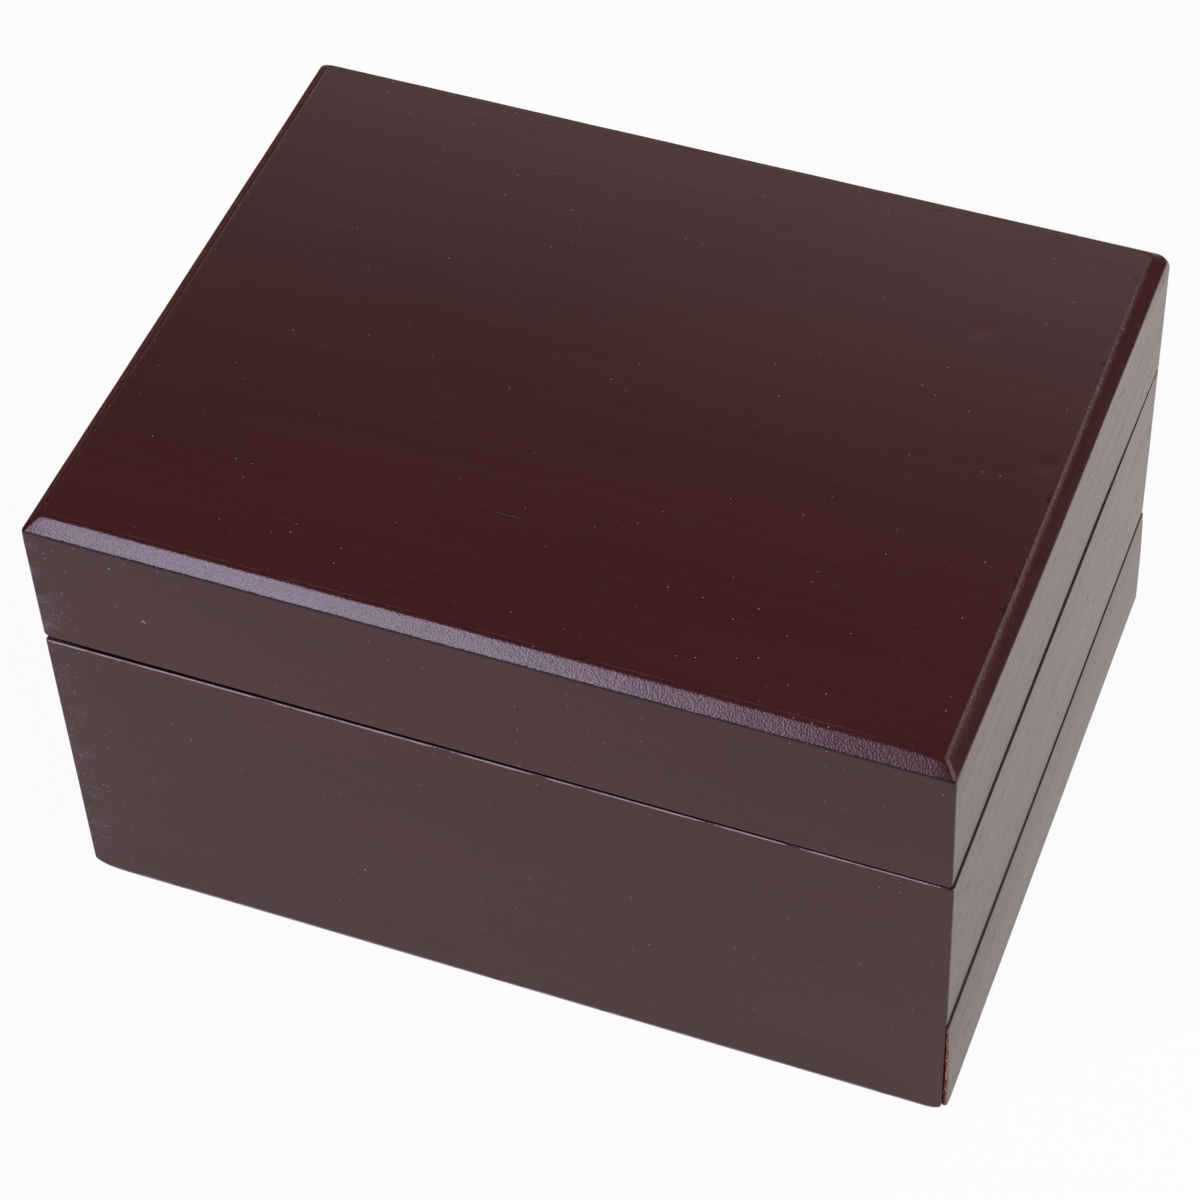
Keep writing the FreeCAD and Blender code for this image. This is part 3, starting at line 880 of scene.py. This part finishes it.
bm = bmesh.new()
masks = ("inside", "scuffed", "peel", "meeting")
inside, scuffed, peel, meeting = [bm.verts.layers.float.new(mask) for mask in masks]
border = [(ix, 0) for ix in range(last_x)] + [(last_x, iy) for iy in range(last_y)]
border += [(ix, last_y) for ix in range(last_x, 0, -1)] + [(0, iy) for iy in range(last_y, 0, -1)]
border_side = ["front"] * last_x + ["right"] * last_y + ["back"] * last_x + ["left"] * last_y
side_slot = {"front": 1, "right": 2, "back": 3, "left": 4}
rings = []
for ix, iy in border:
    ring = []
    x, y = lines_x[ix], lines_y[iy]
    bevel = bevel_at(x, y)
    rounder = top_corner[int(math.copysign(1, x)), int(math.copysign(1, y))]
    rows = bevel_rows(bevel, edge_round(bevel_upper, ix, iy), edge_round(bevel_lower, ix, iy))
    for inset, height, edge, lower_edge in rows:
        rise = min(1.0, (height - rail_high) / (top_z - bevel - rail_high))
        x, y = rim_point(ix, iy, inset, corner_round + rounder * rise * rise)
        vert = bm.verts.new(settled_top(x, y, height))
        vert[peel] = 1.0 if height > top_z - bevel - bevel_end else 0.0
        # Painted shade: a dark line along the front bevel's lower edge.
        vert[meeting] = 1.0 if lower_edge and iy == 0 else 0.0
        vert[scuffed] = edge * (right_wear if ix == last_x else other_wear)
        ring.append(vert)
    for height in (rail_high, plug_z):
        x, y = rim_point(ix, iy, wall, plug_corner)
        x = max(wall - end_x, min(end_x - wall, x))
        y = max(wall - face_y, min(face_y - wall, y))
        vert = bm.verts.new((x, y, height))
        vert[inside] = 1.0
        ring.append(vert)
    rings.append(ring)
last_row = len(rows) - 1
first_border_row = last_row - len(border_shares) - 1
for k, first in enumerate(rings):
    second = rings[(k + 1) % len(rings)]
    for i in range(len(first) - 1):
        face = bm.faces.new((first[i], first[i + 1], second[i + 1], second[i]))
        if first_border_row <= i < last_row:
            face.material_index = side_slot[border_side[k]]
bm.faces.new([ring[-1] for ring in rings])
grid = {place: ring[0] for place, ring in zip(border, rings)}
for ix in range(1, last_x):
    for iy in range(1, last_y):
        x, y = lines_x[ix], lines_y[iy]
        grid[ix, iy] = bm.verts.new(settled_top(x, y, top_z - used_top(x, y)))
for ix in range(last_x):
    for iy in range(last_y):
        bm.faces.new((grid[ix, iy], grid[ix + 1, iy], grid[ix + 1, iy + 1], grid[ix, iy + 1]))
piece = finished_mesh("lid_top_board", bm)
piece.data.materials.append(stained_wood("lid top stain", "top", (2120, 360, 150), 0.13, 0.4, top_gouges))
for side in ("front", "right", "back", "left"):
    piece.data.materials.append(rail_stain[side])
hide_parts("lid_top")
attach(piece, "lid")

# Hinges.
# Two cast brass butt hinges: each has a leaf let into the back wall, a leaf let into the lid, and a steel pin
# through their knuckles. Slotted brass screws hold the leaves.
brass_bright = (0.78, 0.55, 0.24, 1.0)
brass_dull = (0.46, 0.30, 0.12, 1.0)
steel_bright = (0.56, 0.55, 0.53, 1.0)
steel_dull = (0.30, 0.29, 0.28, 1.0)
brush_waves = (0.3, 9.0, 9.0)
brush_relief = 0.004 * mm


def metal(name, bright, dull, smooth, rough):
    """Bare metal, brushed along X and dulled in patches."""
    material, tree, shader = new_material(name)
    place = board_place(tree, "top", (0, 0, 0))
    film = placed_group(tree, skin, {"Place": place})
    brushed = stretched_noise(tree, place, brush_waves, 2.0)
    tarnish = remapped(tree, film["Ripple"], 0.4, 0.7)
    tree.links.new(mixed(tree, tarnish, bright, dull), shader.inputs["Base Color"])
    tree.links.new(remapped(tree, brushed, 0.2, 0.8, smooth, rough), shader.inputs["Roughness"])
    shader.inputs["Metallic"].default_value = 1.0
    bumped(tree, shader, brushed, brush_relief)
    return material


brass = metal("hinge brass", brass_bright, brass_dull, 0.22, 0.42)
steel = metal("pin steel", steel_bright, steel_dull, 0.25, 0.4)
for name in ("hinge_left_body_leaf", "hinge_right_body_leaf", "hinge_left_lid_leaf", "hinge_right_lid_leaf",
             "hinge_body_screws", "hinge_lid_screws"):
    finish_node(name, brass)
for name in ("hinge_left_pin", "hinge_right_pin"):
    finish_node(name, steel)

# Studio floor.
# A wide pale sheet under the box. What looks at it directly or by reflection sees it nearly white, with the
# box's shadow left on it.
# For reflections it glows with painted light, brighter towards the back and fading out where that painted
# patch ends.
floor_half = 12.0
floor_drop = 0.1 * mm
floor_seen = 0.93
floor_mirrored = 0.62
floor_gain = 1.5
floor_warmth = (1.0, 0.955, 0.94, 1.0)
seen_white = (1.0, 1.0, 1.0, 1.0)
paper_pale = (0.9, 0.9, 0.9, 1.0)
sheet_lit = 0.45
sheet_end = 0.65
bm = bmesh.new()
bmesh.ops.create_grid(bm, x_segments=8, y_segments=8, size=floor_half)
bmesh.ops.translate(bm, verts=bm.verts, vec=(0, 0, -floor_drop))
floor = finished_mesh("studio_floor", bm)
material = bpy.data.materials.new("studio floor paper")
material.use_nodes = True
tree = material.node_tree
tree.nodes.clear()
path = node(tree, "LightPath", {})
where = node(tree, "TexCoord", {})
away = node(tree, "VectorMath", {0: where.outputs["Object"]}, operation="LENGTH")
# Painted light: the glow that reflections see fades out with distance from the box and grows towards the
# back.
lit = remapped(tree, away.outputs["Value"], sheet_lit, sheet_end, floor_mirrored, 0.0)
backward = node(tree, "SeparateXYZ", {0: where.outputs["Object"]}).outputs["Y"]
lit = scaled(tree, lit, maths(tree, "ADD", scaled(tree, backward, floor_gain), 1.0))
mirrored = maths(tree, "ADD", path.outputs["Is Glossy Ray"], path.outputs["Is Transmission Ray"])
seen = scaled(tree, path.outputs["Is Camera Ray"], floor_seen)
share = maths(tree, "ADD", seen, scaled(tree, mirrored, lit))
tint = mixed(tree, path.outputs["Is Camera Ray"], floor_warmth, seen_white)
paper = node(tree, "BsdfDiffuse", {"Color": paper_pale})
glow = node(tree, "Emission", {"Color": tint, "Strength": 1.0})
blend = node(tree, "MixShader", {0: share, 1: paper.outputs[0], 2: glow.outputs[0]})
node(tree, "OutputMaterial", {"Surface": blend.outputs[0]})
floor.data.materials.append(material)

# Studio light.
# A dim grey room with soft lamps: the main one at the front left, a fill at the right, a weak panel and a
# narrow lamp at the back right for the right bevel and its edge, and a long low panel behind for the top.
room_grey = 0.08
world = bpy.data.worlds.new("studio room")
bpy.context.scene.world = world
world.use_nodes = True
world.node_tree.nodes["Background"].inputs["Color"].default_value = (room_grey, room_grey, room_grey, 1.0)


def soft_lamp(name, place, aim, size, power, colour):
    """A rectangular lamp at place, turned to face aim."""
    lamp = bpy.data.lights.new(name, "AREA")
    lamp.shape = "RECTANGLE"
    lamp.size, lamp.size_y = size
    lamp.energy = power
    lamp.color = colour
    stand = bpy.data.objects.new(name, lamp)
    stand.location = place
    stand.rotation_mode = "QUATERNION"
    stand.rotation_quaternion = (aim - place).to_track_quat("-Z", "Y")
    stand.visible_camera = False
    bpy.context.scene.collection.objects.link(stand)


front_edge = Vector((0.0, -face_y, top_z))
back_edge = Vector((0.0, face_y, top_z))
right_edge = Vector((end_x, 0.0, top_z))
soft_lamp("main_lamp", front_edge + Vector((-0.39, -0.71, 0.58)), front_edge,
          size=(0.46, 0.34), power=5.4, colour=(1.1, 1.0, 1.36))
soft_lamp("fill_lamp", Vector((0.85, 0.0, 0.9)), Vector((0.08, 0.0, 0.08)),
          size=(0.9, 0.9), power=7.0, colour=(1.0, 0.98, 0.96))
soft_lamp("side_panel_lamp", Vector((1.0, 0.8, 0.32)), Vector((0.13, 0.0, 0.145)),
          size=(0.8, 0.5), power=0.06, colour=(1.0, 1.0, 0.95))
soft_lamp("edge_lamp", right_edge + Vector((0.288, 0.53, 0.63)), right_edge,
          size=(0.34, 0.16), power=0.75, colour=(1.0, 0.95, 1.0))
soft_lamp("back_panel_lamp", back_edge + Vector((-0.274, 0.644, 0.44)),
          back_edge + Vector((-0.274, 0.0, 0.35)), size=(1.3, 0.43), power=1.9, colour=(1.0, 1.0, 1.0))

# Dark reflection card at the back left.
# A plain brown card that the camera, diffuse light and shadows never see; it is there only to put a painted
# dark reflection into the left bevel.
reflection_card_brown = (0.30, 0.12, 0.07, 1.0)
reflection_card_shade = (0.22, 0.09, 0.05, 1.0)
reflection_card_waves = (0.9, 0.9, 0.9)
reflection_card_stand = (-0.29, 0.22, 0.10)
reflection_card_long = 0.8
reflection_card_high = 0.2
bm = bmesh.new()
bmesh.ops.create_grid(bm, x_segments=4, y_segments=2, size=0.5)
bmesh.ops.transform(bm, verts=bm.verts, matrix=Matrix.Translation(reflection_card_stand)
                    @ Matrix.Rotation(math.pi / 2, 4, "Z") @ Matrix.Rotation(math.pi / 2, 4, "X")
                    @ Matrix.Diagonal((reflection_card_long, reflection_card_high, 1.0, 1.0)))
card = finished_mesh("brown_board", bm)
material, tree, shader = new_material("brown pinboard")
fibres = stretched_noise(tree, board_place(tree, "front", (0, 0, 0)), reflection_card_waves, 3.0)
tree.links.new(mixed(tree, fibres, reflection_card_brown, reflection_card_shade), shader.inputs["Base Color"])
shader.inputs["Roughness"].default_value = 0.95
card.data.materials.append(material)
card.visible_camera = False
card.visible_diffuse = False
card.visible_shadow = False

# Camera.
# Above the box's front right corner, turned a few degrees about its own line of sight.
camera_place = Vector((0.2700, -0.6468, 0.8537))
camera_azimuth = math.radians(23.163)
camera_elevation = math.radians(48.571)
camera_roll = math.radians(3.089)
camera_lens = 109.4
camera_sensor = 36.0
forward = Vector((-math.sin(camera_azimuth) * math.cos(camera_elevation),
                  math.cos(camera_azimuth) * math.cos(camera_elevation), -math.sin(camera_elevation)))
level = forward.cross(Vector((0, 0, 1))).normalized()
right = level * math.cos(camera_roll) + forward.cross(level) * math.sin(camera_roll)
up = right.cross(forward)
lens = bpy.data.cameras.new("camera")
lens.lens = camera_lens
lens.sensor_width = camera_sensor
camera = bpy.data.objects.new("camera", lens)
camera.matrix_world = Matrix((right, up, -forward)).transposed().to_4x4()
camera.location = camera_place
bpy.context.scene.collection.objects.link(camera)
bpy.context.scene.camera = camera
bpy.context.scene.view_settings.view_transform = "Standard"
